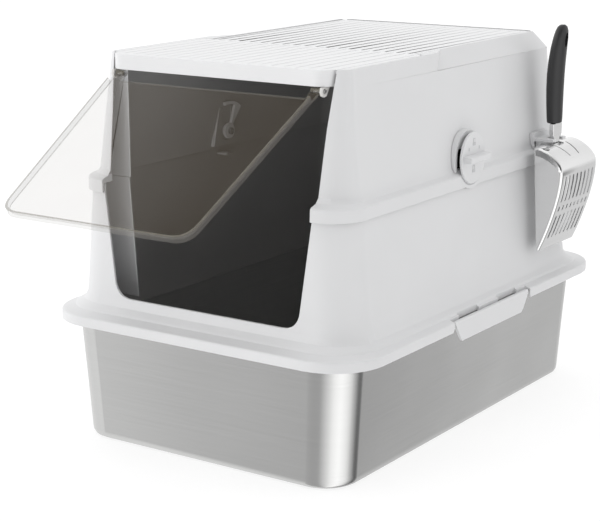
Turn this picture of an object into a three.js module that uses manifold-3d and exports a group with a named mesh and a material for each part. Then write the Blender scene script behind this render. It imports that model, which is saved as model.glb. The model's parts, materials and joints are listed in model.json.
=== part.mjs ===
// Cat litter box with hood: a steel pan, a two-storey plastic hood with a ribbed lid,
// a clear swinging flap and a scoop hung on the side.
// Millimetres, +Z up, the entrance faces -Y, the scoop hangs on +X.
// The origin is the centre of the pan's underside.
import * as THREE from 'three';
import { mergeVertices } from 'three/addons/utils/BufferGeometryUtils.js';
import Module from 'manifold-3d';

const wasm = await Module();
wasm.setup();

// ---------- driving dimensions ----------
const WALL = 3; // plastic wall
const GAP = 0.3; // between neighbouring pieces
const CORNER_STEPS = 7; // facets in a quarter round

const RIM = { w: 216, l: 305, r: 62, bottom: 141, top: 153 };
const PAN = { w: 182, l: 281, topW: 193, topL: 287, r: 41, topR: 44, sheet: 1.4, top: 149.2 };
const LIP = { w: 209, l: 299, r: 56 }; // the pan's folded lip, inside the rim
const LOWER_TOP = 303.7; // top edge of the lower shell
const BAND = { w: 186, front: -272.5, rear: 268, r: 42, bottom: 293, top: 307 };
const TOP = 449.5; // top plane of the hood
const SILL = 172.5; // bottom of the entrance
const CHAMFER = { bottom: 430, w: 147, rear: 236, start: -12 };

const FLAP = { y: -245, z: 427.7, topHalf: 138.5, bottomHalf: 124.3, length: 244, sheet: 2.5, lip: 6 };
const FLAP_OPEN = THREE.MathUtils.degToRad(59); // how far the flap stands out at rest
const JAMB = {
  front: -225, depth: 2.5, top: 440, upperHalf: 140.6, lowerTopHalf: 142.6, lowerBottomHalf: 132.6,
};

const LID = { half: 142.1, wing: 158.4, skirtHalf: 148, front: -248, rear: 232.8 };
const LID_TOP = 448.6;
const LID_SHEET = 3.3;
const SKIRT_BOTTOM = 432.3;
const LID_HINGE = { y: 229, z: 445.2, roll: 3.8, pin: 1.8 };
const GROOVES = 20;

const LATCH = { y: 6, topHalf: 92, bottomHalf: 76, bottom: 127, pinX: 212.5, pinZ: 149.3, barrel: 3.2 };
const LATCH_PIN = 1.4;
const LATCH_SLOT = { near: 24, far: 71, depth: 4.6 };

const KNOB = { y: -1, z: 326, halfWidth: 28, halfHeight: 30.2, shaft: 7, back: 184.6, face: 188 };
const PLATE = { half: 30.5, rim: 5, floor: 176.9, front: 180 };
const HOUSING = { x: 168, bottomHalf: 27, topHalf: 15, z0: 308, z1: 357, recess: 1.4 };
const CAM = { inner: 34, outer: 38, x0: 163, x1: 166.9 };

const SCOOP = { y0: 136, y1: 236, sheet: 1.4, tipX: 206, tipZ: 190, topX: 197, topZ: 319 };
const GRIP_Y = (SCOOP.y0 + SCOOP.y1) / 2;

// ---------- materials ----------
const finish = (color, roughness, metalness = 0, extra = {}) =>
  new THREE.MeshStandardMaterial({ color, roughness, metalness, ...extra });
const whitePlastic = finish(0xe4e4e6, 0.45);
const lidPlastic = finish(0xececee, 0.42);
const steel = finish(0xb4b4b2, 0.32, 1);
const polished = finish(0xd8d8d8, 0.12, 1);
const clear = finish(0xf0ebe0, 0.08, 0, { transparent: true, opacity: 0.3 });
const softGrip = finish(0x2c2c2e, 0.6);

// ---------- solids ----------
function solid(geometry) {
  const bare = geometry.clone();
  bare.deleteAttribute('normal');
  bare.deleteAttribute('uv');
  const merged = mergeVertices(bare, 1e-4);
  return new wasm.Manifold(new wasm.Mesh({
    numProp: 3,
    vertProperties: new Float32Array(merged.attributes.position.array),
    triVerts: new Uint32Array(merged.index.array),
  }));
}

// The solid as a three.js geometry; side -1 is its mirror image in X.
function geometryOf(body, side = 1) {
  const mesh = body.getMesh();
  const index = Array.from(mesh.triVerts);
  const position = Float32Array.from(mesh.vertProperties);
  if (side < 0) {
    for (let i = 0; i < position.length; i += 3) position[i] = -position[i];
    index.reverse();
  }
  const geometry = new THREE.BufferGeometry();
  geometry.setAttribute('position', new THREE.BufferAttribute(position, 3));
  geometry.setIndex(index);
  geometry.computeVertexNormals();
  return geometry;
}

// A solid together with its mirror image in X.
const both = (body) => body.add(solid(geometryOf(body, -1)));

const box = (x0, x1, y0, y1, z0, z1) => solid(
  new THREE.BoxGeometry(x1 - x0, y1 - y0, z1 - z0)
    .translate((x0 + x1) / 2, (y0 + y1) / 2, (z0 + z1) / 2));

const outline = (points) => new THREE.Shape(points.map(([a, b]) => new THREE.Vector2(a, b)));
const flatExtrude = (shape, depth, curveSegments) =>
  new THREE.ExtrudeGeometry(shape, { depth, bevelEnabled: false, curveSegments });

const AXIS_X = new THREE.Vector3(1, 0, 0);
const AXIS_Y = new THREE.Vector3(0, 1, 0);
const AXIS_Z = new THREE.Vector3(0, 0, 1);

// An outline in the Y-Z plane, extruded from x0 to x1.
function alongX(shape, x0, x1, curveSegments = 6) {
  const turn = new THREE.Matrix4().makeBasis(AXIS_Y, AXIS_Z, AXIS_X);
  return solid(flatExtrude(shape, x1 - x0, curveSegments).applyMatrix4(turn).translate(x0, 0, 0));
}

// An outline in the X-Z plane, extruded from y0 to y1.
function alongY(shape, y0, y1, curveSegments = 6) {
  const turn = new THREE.Matrix4().makeBasis(AXIS_X, AXIS_Z, AXIS_Y.clone().negate());
  return solid(flatExtrude(shape, y1 - y0, curveSegments).applyMatrix4(turn).translate(0, y1, 0));
}

// An outline in the X-Y plane, extruded from z0 to z1.
const alongZ = (shape, z0, z1, curveSegments = 6) =>
  solid(flatExtrude(shape, z1 - z0, curveSegments).translate(0, 0, z0));

const rodX = (x0, x1, y, z, radius, sides = 16) => solid(
  new THREE.CylinderGeometry(radius, radius, x1 - x0, sides)
    .rotateZ(Math.PI / 2)
    .translate((x0 + x1) / 2, y, z));

const rodY = (y0, y1, x, z, radius, sides = 16) => solid(
  new THREE.CylinderGeometry(radius, radius, y1 - y0, sides)
    .translate(x, (y0 + y1) / 2, z));

// A rounded rectangle seen from above, symmetrical in X, counter-clockwise.
function ring({ w, front, rear, r, z }) {
  const corners = [
    [w - r, front + r, -90],
    [w - r, rear - r, 0],
    [r - w, rear - r, 90],
    [r - w, front + r, 180],
  ];
  return corners.flatMap(([cx, cy, start]) =>
    Array.from({ length: CORNER_STEPS + 1 }, (_, i) => {
      const angle = THREE.MathUtils.degToRad(start + (90 * i) / CORNER_STEPS);
      return [cx + r * Math.cos(angle), cy + r * Math.sin(angle), z];
    }));
}

// A closed solid through rounded-rectangle sections, from the lowest to the highest.
function loft(sections) {
  const rings = sections.map(ring);
  const count = rings[0].length;
  const triangles = [];
  const quad = (a, b, c, d) => triangles.push(a, b, c, a, c, d);
  for (let s = 0; s + 1 < rings.length; s += 1) {
    for (let i = 0; i < count; i += 1) {
      const j = (i + 1) % count;
      quad(rings[s][i], rings[s][j], rings[s + 1][j], rings[s + 1][i]);
    }
  }
  const last = rings[rings.length - 1];
  for (let i = 1; i + 1 < count; i += 1) {
    triangles.push(rings[0][0], rings[0][i + 1], rings[0][i]);
    triangles.push(last[0], last[i], last[i + 1]);
  }
  const geometry = new THREE.BufferGeometry();
  geometry.setAttribute('position', new THREE.Float32BufferAttribute(triangles.flat(), 3));
  return solid(geometry);
}

const centred = (w, l, r, z) => ({ w, front: -l, rear: l, r, z });
const grown = (sections, by) => sections.map((s) => ({
  w: s.w + by, front: s.front - by, rear: s.rear + by, r: Math.max(s.r + by, 2), z: s.z,
}));

// ---------- the scene ----------
const group = new THREE.Group();
group.name = 'cat_litter_box';

function add(name, body, material, side = 1) {
  const mesh = new THREE.Mesh(geometryOf(body, side), material);
  mesh.name = name;
  group.add(mesh);
  return mesh;
}

function addPair(name, body, material) {
  add(`${name}_right`, body, material, 1);
  add(`${name}_left`, body, material, -1);
}

// ---------- steel pan ----------
const panOutside = [
  centred(PAN.w - 6, PAN.l - 6, PAN.r - 6, 0),
  centred(PAN.w - 1.5, PAN.l - 1.5, PAN.r - 1.5, 2),
  centred(PAN.w + 0.4, PAN.l + 0.2, PAN.r, 7),
  centred(PAN.topW, PAN.topL, PAN.topR, PAN.top - PAN.sheet),
];
const panInside = [
  centred(PAN.w - 6.5, PAN.l - 6.5, PAN.r - 6.5, PAN.sheet),
  centred(PAN.w - 1.2, PAN.l - 1.4, PAN.r - 2, 8),
  centred(PAN.topW - PAN.sheet, PAN.topL - PAN.sheet, PAN.topR - PAN.sheet, PAN.top + 1),
];
const panLip = loft([
  centred(LIP.w, LIP.l, LIP.r, PAN.top - PAN.sheet),
  centred(LIP.w, LIP.l, LIP.r, PAN.top),
]);
add('steel_pan', loft(panOutside).add(panLip).subtract(loft(panInside)), steel);

// ---------- lower shell: the rim, the walls and the low sill ----------
const lowerOutside = [
  centred(RIM.w, RIM.l, RIM.r, RIM.bottom),
  centred(RIM.w, RIM.l, RIM.r, RIM.top - 1.5),
  centred(RIM.w - 1.5, RIM.l - 1.5, RIM.r - 1.5, RIM.top),
  { w: 206, front: -287, rear: 284, r: 54, z: 155.5 },
  { w: 204, front: -284, rear: 281, r: 52, z: 158.5 },
  { w: 198, front: -276, rear: 273, r: 47, z: 162 },
  { w: 193.5, front: -272.5, rear: 268.5, r: 44, z: 170 },
  { w: 191.4, front: -271.5, rear: 267, r: 43, z: 186 },
  { w: 181.7, front: -268.5, rear: 264, r: 41, z: LOWER_TOP },
];
const lowerInside = [
  { w: 187.5, front: -267.5, rear: 264, r: 40, z: 125 },
  { w: 188.4, front: -268.5, rear: 264, r: 40, z: 186 },
  { w: 178.7, front: -265.5, rear: 261, r: 38, z: LOWER_TOP + 1 },
];
const skirtOutside = [
  { w: 190, front: -270, rear: 266.5, r: 42, z: 132 },
  { w: 190, front: -270, rear: 266.5, r: 42, z: 152 },
];
const rimChannel = loft([
  centred(RIM.w - WALL, RIM.l - WALL, RIM.r - WALL, RIM.bottom - 1),
  centred(RIM.w - WALL, RIM.l - WALL, RIM.r - WALL, PAN.top + GAP),
]).subtract(loft(skirtOutside));

// The entrance narrows towards the sill and ends in round lower corners.
const ENTRANCE = [[151.4, 455], [150.8, 443.5], [146.1, 388], [142.6, 313], [142, 293], [128.6, 196]];
function entrance(sill, cornerRadius) {
  const shape = new THREE.Shape();
  const [lowX, lowZ] = ENTRANCE[ENTRANCE.length - 1];
  shape.moveTo(-ENTRANCE[0][0], ENTRANCE[0][1]);
  ENTRANCE.slice(1).forEach(([x, z]) => shape.lineTo(-x, z));
  shape.quadraticCurveTo(-lowX + 1.5, sill, -lowX + cornerRadius, sill);
  shape.lineTo(lowX - cornerRadius, sill);
  shape.quadraticCurveTo(lowX - 1.5, sill, lowX, lowZ);
  ENTRANCE.slice(0, -1).reverse().forEach(([x, z]) => shape.lineTo(x, z));
  return shape;
}
const doorway = alongY(entrance(SILL, 24), -330, JAMB.front - 1);

// The jamb stands a little way inside the entrance, and the flap closes in front of it.
function jamb(halfTop, halfBottom, z0, z1, envelope) {
  const post = alongY(
    outline([[halfBottom, z0], [200, z0], [200, z1], [halfTop, z1]]), JAMB.front, JAMB.front + JAMB.depth);
  return both(post).intersect(envelope);
}
const lowerJamb = jamb(JAMB.lowerTopHalf, JAMB.lowerBottomHalf, 160, LOWER_TOP, loft(lowerOutside.slice(5)));

// The rim is cut back for the latches, with two deeper slots behind each barrel.
function latchRecess() {
  const cut = alongX(outline([
    [LATCH.y - LATCH.topHalf - 2, RIM.top + 2],
    [LATCH.y - LATCH.topHalf - 2, RIM.bottom + 5],
    [LATCH.y - LATCH.topHalf - 6, RIM.bottom - 2],
    [LATCH.y + LATCH.topHalf + 3, RIM.bottom - 2],
    [LATCH.y + LATCH.topHalf + 1, RIM.bottom + 5],
    [LATCH.y + LATCH.topHalf + 1, RIM.top + 2],
  ]), LATCH.pinX - 4.4, RIM.w + 5);
  const slot = (y0, y1) => box(
    LATCH.pinX - LATCH.barrel - LATCH_SLOT.depth, LATCH.pinX, y0, y1, RIM.bottom - 2, RIM.top + 6);
  return cut
    .add(slot(LATCH.y + LATCH_SLOT.near, LATCH.y + LATCH_SLOT.far))
    .add(slot(LATCH.y - LATCH_SLOT.far, LATCH.y - LATCH_SLOT.near));
}
// The latch turns on a pin whose ends sit in the rim.
const latchRod = (reach, radius) => rodY(
  LATCH.y - LATCH.topHalf - reach, LATCH.y + LATCH.topHalf + reach, LATCH.pinX, LATCH.pinZ, radius, 12);
// A ledge inside each side wall, which the knob's cam turns under.
const camLedge = box(CAM.x0, 181, KNOB.y - 7, KNOB.y + 7, 295, 298);

const lowerShell = loft(lowerOutside)
  .add(loft(skirtOutside))
  .subtract(loft(lowerInside))
  .subtract(rimChannel)
  .subtract(doorway)
  .add(lowerJamb)
  .subtract(both(latchRecess()))
  .subtract(both(latchRod(9, LATCH_PIN + GAP)))
  .add(both(camLedge));
add('lower_shell', lowerShell, whitePlastic);

// ---------- side latches ----------
const latchPlate = alongX(outline([
  [LATCH.y - LATCH.topHalf, LATCH.pinZ],
  [LATCH.y - LATCH.bottomHalf, LATCH.bottom],
  [LATCH.y + LATCH.bottomHalf - 5, LATCH.bottom],
  [LATCH.y + LATCH.bottomHalf, LATCH.bottom + 4],
  [LATCH.y + LATCH.topHalf - 7, LATCH.pinZ - 6],
  [LATCH.y + LATCH.topHalf - 4, LATCH.pinZ],
]), LATCH.pinX - 0.2, LATCH.pinX + LATCH.barrel);
const latchBarrel = rodY(
  LATCH.y - LATCH.topHalf, LATCH.y + LATCH.topHalf - 4, LATCH.pinX, LATCH.pinZ, LATCH.barrel, 16);
const latchEdge = box(
  LATCH.pinX, LATCH.pinX + LATCH.barrel, LATCH.y - LATCH.topHalf, LATCH.y + LATCH.topHalf - 4,
  LATCH.pinZ, LATCH.pinZ + LATCH.barrel);
// The catch ends beside the edge of the pan's lip.
const latchCatch = box(
  LIP.w + GAP, LATCH.pinX + 1, LATCH.y - 30, LATCH.y + 30, PAN.top - 9, PAN.top - 5);
const latch = latchPlate
  .add(latchBarrel)
  .add(latchEdge)
  .add(latchCatch)
  .subtract(latchRod(4, LATCH_PIN + GAP));
addPair('latch', latch, whitePlastic);
addPair('latch_pin', latchRod(7.5, LATCH_PIN), steel);

// ---------- upper shell: the band, the walls and the border around the lid ----------
const upperOutside = [
  { ...BAND, z: BAND.bottom },
  { ...BAND, z: BAND.top },
  { w: 184, front: -270.5, rear: 266, r: 41, z: 309 },
  { w: 179, front: -262, rear: 257, r: 37, z: 311.5 },
  { w: 176, front: -257.3, rear: 252.5, r: 34, z: 317 },
  { w: 170.3, front: -249.7, rear: 248, r: 26, z: 367 },
  { w: 164.2, front: -239.5, rear: 243.5, r: 19, z: CHAMFER.bottom },
  { w: 162, front: -236.3, rear: 242, r: 17, z: TOP },
];
const upperInside = [
  { w: 183, front: -269.5, rear: 265, r: 39, z: BAND.bottom - 1 },
  { w: 183, front: -269.5, rear: 265, r: 39, z: LOWER_TOP + GAP },
  { w: 173.4, front: -254.5, rear: 249.5, r: 31, z: LOWER_TOP + GAP + 0.1 },
  { w: 172.9, front: -254.3, rear: 249.4, r: 31, z: 317 },
  { w: 167.3, front: -246.7, rear: 245, r: 23, z: 367 },
  { w: 161.2, front: -236.5, rear: 240.5, r: 16, z: CHAMFER.bottom },
];
const wallOutside = loft(upperOutside);

// The rear half of the top edge is chamfered; the chamfer starts at mid-length.
const chamferSection = (w, rear, z, r) => ({ w, front: -400, rear, r, z });
const chamferKeep = loft([
  chamferSection(170.5, 246.5, CHAMFER.bottom - 7, 19),
  chamferSection(CHAMFER.w - 1, CHAMFER.rear - 0.5, TOP + 1, 17),
]);
const chamferZone = alongZ(outline([
  [-172, CHAMFER.start - 50], [-172, 300], [172, 300], [172, CHAMFER.start - 50],
  [CHAMFER.w, CHAMFER.start], [-CHAMFER.w, CHAMFER.start],
]), CHAMFER.bottom - 6, TOP + 1);
const chamferCut = chamferZone.subtract(chamferKeep);

const openTop = (half, y0, y1, z0) => box(-half, half, y0, y1, z0, TOP + 2);
const ledge = 6.5; // the lid's edge rests on it
const upperCavity = loft(upperInside)
  .add(loft([
    { w: 161.25, front: -236.5, rear: -62, r: 15.5, z: CHAMFER.bottom - 0.5 },
    { w: 159, front: -233.3, rear: -62, r: 14, z: TOP + 1 },
  ]))
  .add(loft([
    { w: 161.2, front: -100, rear: 240.5, r: 16, z: CHAMFER.bottom - 0.1 },
    { w: 150, front: -100, rear: 235, r: 14, z: TOP - 8.5 },
  ]))
  .add(openTop(LID.half + GAP - ledge, -100, LID_HINGE.y - 4.8, CHAMFER.bottom - 1))
  .add(openTop(LID.half + 2 * GAP, -66, LID.rear + 0.8, TOP - LID_SHEET - 1.2))
  .add(box(-LID.half - 2 * GAP, LID.half + 2 * GAP, LID_HINGE.y - 4.8, LID.rear + 0.8, CHAMFER.bottom, TOP));
const wingLedge = both(box(152, 160.5, -226, -64, TOP - 8.5, TOP - LID_SHEET - 1.2)).intersect(wallOutside);
const hingeSocket = both(
  rodX(LID.half - 4, LID.half + 4.5, LID_HINGE.y, LID_HINGE.z, LID_HINGE.pin + GAP, 14));
const upperJamb = jamb(JAMB.upperHalf, JAMB.upperHalf, LOWER_TOP + GAP, JAMB.top, loft([
  { w: 175, front: -256, rear: 251, r: 33, z: LOWER_TOP }, ...grown(upperOutside.slice(4), -1),
]));

// Below each knob the band bulges down around the dial.
const knobCircle = (radius, x0, x1) => rodX(x0, x1, KNOB.y, KNOB.z, radius, 40);
const bandBulge = both(knobCircle(KNOB.halfHeight + 6, 180, BAND.w)
  .intersect(box(180, BAND.w, KNOB.y - 30, KNOB.y + 30, BAND.bottom - 4, BAND.top)));
const bulgeRelief = both(box(170, 183.2, KNOB.y - 40, KNOB.y + 40, BAND.bottom - 6, LOWER_TOP + GAP));
const dialRecess = both(knobCircle(KNOB.halfHeight + 1.5, KNOB.back - GAP, BAND.w + 1));
const knobBore = rodX(160, 190, KNOB.y, KNOB.z, KNOB.shaft + GAP, 24);
const pocket = box(HOUSING.x + 2, 190, KNOB.y - 19, KNOB.y - 9, KNOB.z - 13, KNOB.z + 11);

// Inside, a block with a vertical face carries the knob's shaft; a keyhole recess leaves room for the cam.
const keyhole = rodX(HOUSING.x - 1, HOUSING.x + HOUSING.recess, KNOB.y, KNOB.z, 12, 24)
  .add(box(HOUSING.x - 1, HOUSING.x + HOUSING.recess, KNOB.y - 9, KNOB.y + 9, KNOB.z, HOUSING.z1 + 5));
const housingPart = (topHalf, z1, x0, x1) => alongX(outline([
  [KNOB.y - HOUSING.bottomHalf, HOUSING.z0], [KNOB.y + HOUSING.bottomHalf, HOUSING.z0],
  [KNOB.y + topHalf, z1], [KNOB.y - topHalf, z1],
]), x0, x1);
const housing = both(housingPart(HOUSING.topHalf, HOUSING.z1, HOUSING.x, 171)
  .subtract(keyhole)
  .add(housingPart(HOUSING.bottomHalf - 6, 334, 170.5, 173.4)));

const upperShell = wallOutside
  .subtract(chamferCut)
  .subtract(upperCavity)
  .subtract(doorway)
  .add(upperJamb)
  .add(wingLedge)
  .add(bandBulge.subtract(bulgeRelief))
  .add(housing)
  .subtract(dialRecess)
  .subtract(hingeSocket)
  .subtract(both(knobBore.add(pocket)));
add('upper_shell', upperShell, whitePlastic);

// ---------- lid ----------
const slab = (half, front, rear, r, z0, z1) => loft([
  { w: half, front, rear, r, z: z0 }, { w: half, front, rear, r, z: z1 },
]);
const skirt = slab(LID.skirtHalf, LID.front, -200, 17, SKIRT_BOTTOM, TOP)
  .subtract(slab(LID.skirtHalf - WALL, LID.front + WALL, -190, 14, SKIRT_BOTTOM - 1, TOP - LID_SHEET))
  .subtract(box(-200, 200, LID.front + 16.5, -100, SKIRT_BOTTOM - 1, TOP - LID_SHEET));
const wings = slab(LID.wing, -232.6, -66, 13.4, TOP - LID_SHEET - 0.9, TOP);
const panel = box(-LID.half, LID.half, -120, LID_HINGE.y, TOP - LID_SHEET - 0.9, LID_TOP);
const lidRoll = rodX(-LID.half, LID.half, LID_HINGE.y, LID_HINGE.z, LID_HINGE.roll, 20);
const groovePitch = 2 * 150 / (GROOVES - 1);
const grooves = Array.from({ length: GROOVES }, (_, i) => {
  const x = -150 + i * groovePitch;
  const end = i === 0 || i === GROOVES - 1 ? -76 : LID_HINGE.y - 8;
  return box(x - 0.9, x + 0.9, LID.front + 9, end, LID_TOP - 0.8, TOP + 1);
}).reduce((all, groove) => all.add(groove));
const lidPinHole = both(rodX(LID.half - 12, LID.half + 1, LID_HINGE.y, LID_HINGE.z, LID_HINGE.pin + GAP, 14));
const lid = skirt.add(wings).add(panel).add(lidRoll).subtract(grooves).subtract(lidPinHole);
add('lid', lid, lidPlastic);
addPair(
  'lid_hinge_pin', rodX(LID.half - 11, LID.half + 4, LID_HINGE.y, LID_HINGE.z, LID_HINGE.pin, 14), steel);

// ---------- flap and its hooks ----------
const HOOK = { x0: 139.6, x1: 142.8, hole: 2.5 };
const hookShape = outline([
  [-237.5, TOP - LID_SHEET - 0.9 - GAP], [-237.5, SKIRT_BOTTOM - GAP], [-249.5, SKIRT_BOTTOM - GAP],
  [-250.5, 427], [-249, 423], [-245, 421.3], [-241, 422.5], [-237, 428], [-233, SKIRT_BOTTOM + 2],
  [-233, TOP - LID_SHEET - 0.9 - GAP],
]);
const hook = alongX(hookShape, HOOK.x0, HOOK.x1)
  .subtract(rodX(HOOK.x0 - 1, HOOK.x1 + 1, FLAP.y, FLAP.z, HOOK.hole));
addPair('flap_hook', hook, whitePlastic);

// The flap is drawn hanging, its pivot at the origin, then swung out to its rest angle.
const swing = new THREE.Matrix4()
  .makeTranslation(0, FLAP.y, FLAP.z)
  .multiply(new THREE.Matrix4().makeRotationX(-FLAP_OPEN));
const swung = (body) => solid(geometryOf(body).applyMatrix4(swing));

function flapOutline(inset) {
  const top = FLAP.topHalf - inset;
  const low = FLAP.bottomHalf - inset;
  const end = -FLAP.length + inset;
  const r = 22;
  const shape = new THREE.Shape();
  shape.moveTo(-top + 0.8, -14 - inset);
  shape.lineTo(-low - 0.8, end + r);
  shape.quadraticCurveTo(-low, end, -low + r, end);
  shape.lineTo(low - r, end);
  shape.quadraticCurveTo(low, end, low + 0.8, end + r);
  shape.lineTo(top - 0.8, -14 - inset);
  return shape;
}
const flapSheet = alongY(flapOutline(0), -FLAP.sheet / 2, FLAP.sheet / 2, 8);
const flapLip = alongY(flapOutline(0), -FLAP.sheet / 2 - FLAP.lip, 0, 8)
  .subtract(alongY(flapOutline(2.2), -FLAP.sheet / 2 - FLAP.lip - 1, 1, 8))
  .subtract(box(-200, 200, -20, 20, -18, 0));
const flapArm = both(box(FLAP.topHalf - 12, FLAP.topHalf, -FLAP.sheet / 2, FLAP.sheet / 2, -16, 0)
  .add(rodX(FLAP.topHalf - 12, FLAP.topHalf, 0, 0, 3.7)));
const flapBore = both(rodX(FLAP.topHalf - 9, FLAP.topHalf + 1, 0, 0, 2.3));
add('flap_door', swung(flapSheet.add(flapLip).add(flapArm).subtract(flapBore)), clear);
addPair('flap_pin', rodX(FLAP.topHalf - 8.5, HOOK.x1 + 1.2, FLAP.y, FLAP.z, 2), steel);

// ---------- locking knobs ----------
const nearWall = loft(grown(upperOutside, GAP)).add(loft(grown(upperOutside.slice(0, 5), GAP + 0.2)));
const arch = (half, base) => {
  const shape = new THREE.Shape();
  shape.moveTo(KNOB.y - half, base);
  shape.lineTo(KNOB.y - half, KNOB.z);
  shape.absellipse(KNOB.y, KNOB.z, half, half + 1.5, Math.PI, 0, true);
  shape.lineTo(KNOB.y + half, base);
  return shape;
};
const knobPlate = alongX(arch(PLATE.half, BAND.top + 2.5), 165, PLATE.front, 12)
  .subtract(alongX(arch(PLATE.half - PLATE.rim, BAND.top), PLATE.floor, PLATE.front + 1, 12))
  .subtract(nearWall)
  .subtract(knobBore)
  .subtract(pocket);
addPair('knob_plate', knobPlate, whitePlastic);

const dial = new THREE.Shape().absellipse(KNOB.y, KNOB.z, KNOB.halfWidth, KNOB.halfHeight, 0, 2 * Math.PI);
const SCREW = { shank: 1.9, head: 4.5, depth: 12 };
const knobGrip = box(
  KNOB.face - 1, KNOB.face + 10.5, KNOB.y - 24.5, KNOB.y + 24.5, KNOB.z - 3.3, KNOB.z + 3.3);
const knob = alongX(dial, KNOB.back, KNOB.face, 10)
  .add(knobGrip)
  .add(rodX(CAM.x1 + GAP, KNOB.back + 1, KNOB.y, KNOB.z, KNOB.shaft, 20))
  .subtract(rodX(CAM.x1 - 1, CAM.x1 + SCREW.depth, KNOB.y, KNOB.z, SCREW.shank + GAP, 12));
addPair('knob', knob, whitePlastic);

// The cam points up when the knob is open and turns down under the ledge to lock.
function sector(radius, from, to) {
  const steps = 8;
  const arc = Array.from({ length: steps + 1 }, (_, i) => {
    const angle = THREE.MathUtils.degToRad(from + ((to - from) * i) / steps);
    return [KNOB.y + radius * Math.cos(angle), KNOB.z + radius * Math.sin(angle)];
  });
  return alongX(outline([[KNOB.y, KNOB.z], ...arc]), CAM.x0, CAM.x1);
}
const cam = rodX(CAM.x0, CAM.x1, KNOB.y, KNOB.z, 10, 24)
  .add(sector(CAM.outer, 50, 105).subtract(rodX(CAM.x0 - 1, CAM.x1 + 1, KNOB.y, KNOB.z, CAM.inner, 48)))
  .add(sector(CAM.outer - 1, 50, 70))
  .subtract(rodX(CAM.x0 - 1, CAM.x1 + 1, KNOB.y, KNOB.z, SCREW.shank + GAP, 12));
addPair('knob_cam', cam, whitePlastic);
const screw = rodX(CAM.x0 - 3 - GAP, CAM.x0 - GAP, KNOB.y, KNOB.z, SCREW.head, 16)
  .add(rodX(CAM.x0 - 1, CAM.x1 + SCREW.depth - 1, KNOB.y, KNOB.z, SCREW.shank, 12));
addPair('knob_screw', screw, steel);

// ---------- scoop and its holder ----------
const SHELF = { x: 206, z0: 321, z1: 325, half: 18, slot: 9.5 };
const holder = box(170, 181, GRIP_Y - 20, GRIP_Y + 20, 311, 331)
  .add(box(170, SHELF.x, GRIP_Y - SHELF.half, GRIP_Y + SHELF.half, SHELF.z0, SHELF.z1))
  .add(alongY(outline([[175, 311.5], [181, 311.5], [194, SHELF.z0 + 1], [175, SHELF.z0 + 1]]),
    GRIP_Y - 14, GRIP_Y + 14))
  .subtract(box(193, SHELF.x + 2, GRIP_Y - SHELF.slot, GRIP_Y + SHELF.slot, 300, 340))
  .subtract(nearWall);
add('scoop_holder', holder, whitePlastic);

// The basket's profile: over the top, round the heel and down the slotted face to the tip.
function scoopProfile(inset) {
  const shape = new THREE.Shape();
  shape.moveTo(SCOOP.topX - 2 * inset, SCOOP.topZ - inset);
  shape.lineTo(SCOOP.topX + 6, SCOOP.topZ - inset);
  shape.quadraticCurveTo(SCOOP.topX + 34 - inset, SCOOP.topZ - 4 - inset, 235 - inset, 296);
  shape.quadraticCurveTo(232 - inset, 250, SCOOP.tipX - inset, SCOOP.tipZ);
  shape.lineTo(SCOOP.tipX - 2.4 - inset, SCOOP.tipZ - 2 * inset);
  return shape;
}
const basketBody = alongY(scoopProfile(0), SCOOP.y0, SCOOP.y1, 9);
const basketHollow = alongY(
  scoopProfile(SCOOP.sheet), SCOOP.y0 + SCOOP.sheet, SCOOP.y1 - SCOOP.sheet, 9);
const slotRows = [[285, 252], [247, 239], [234, 203]];
const slotColumns = Array.from({ length: 8 }, (_, i) => SCOOP.y0 + 12 + (i * 76) / 7);
const slots = slotRows.flatMap(([high, low]) => slotColumns.map(
  (y) => box(SCOOP.tipX - 8, 245, y - 2, y + 2, low, high)));
const rivetX = 200.5;
const rivetRod = (z0, z1, radius) => solid(
  new THREE.CylinderGeometry(radius, radius, z1 - z0, 14)
    .rotateX(Math.PI / 2)
    .translate(rivetX, GRIP_Y, (z0 + z1) / 2));
const rivetBore = rivetRod(SCOOP.topZ - 4, 326.5, 1.8);
const basket = slots.reduce((body, slot) => body.subtract(slot), basketBody.subtract(basketHollow))
  .subtract(rivetBore);
add('scoop_basket', basket, polished);

const NECK = { x0: 197.5, x1: 203.5, half: 7, top: 343 };
const neckShape = outline([
  [GRIP_Y - NECK.half, SCOOP.topZ + GAP], [GRIP_Y + NECK.half, SCOOP.topZ + GAP],
  [GRIP_Y + NECK.half, 322], [GRIP_Y + 11.5, 329.5], [GRIP_Y + 12, NECK.top], [GRIP_Y + 6, NECK.top],
  [GRIP_Y + 6, 400], [GRIP_Y - 6, 400], [GRIP_Y - 6, NECK.top], [GRIP_Y - 12, NECK.top],
  [GRIP_Y - 11.5, 329.5], [GRIP_Y - NECK.half, 322],
]);
add('scoop_neck', alongX(neckShape, NECK.x0, NECK.x1).subtract(rivetBore), polished);
const rivetSeat = SCOOP.topZ - SCOOP.sheet - GAP;
add('scoop_rivet', rivetRod(rivetSeat - 2, rivetSeat, 3.5).add(rivetRod(rivetSeat - 1, 326, 1.5)), polished);

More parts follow.
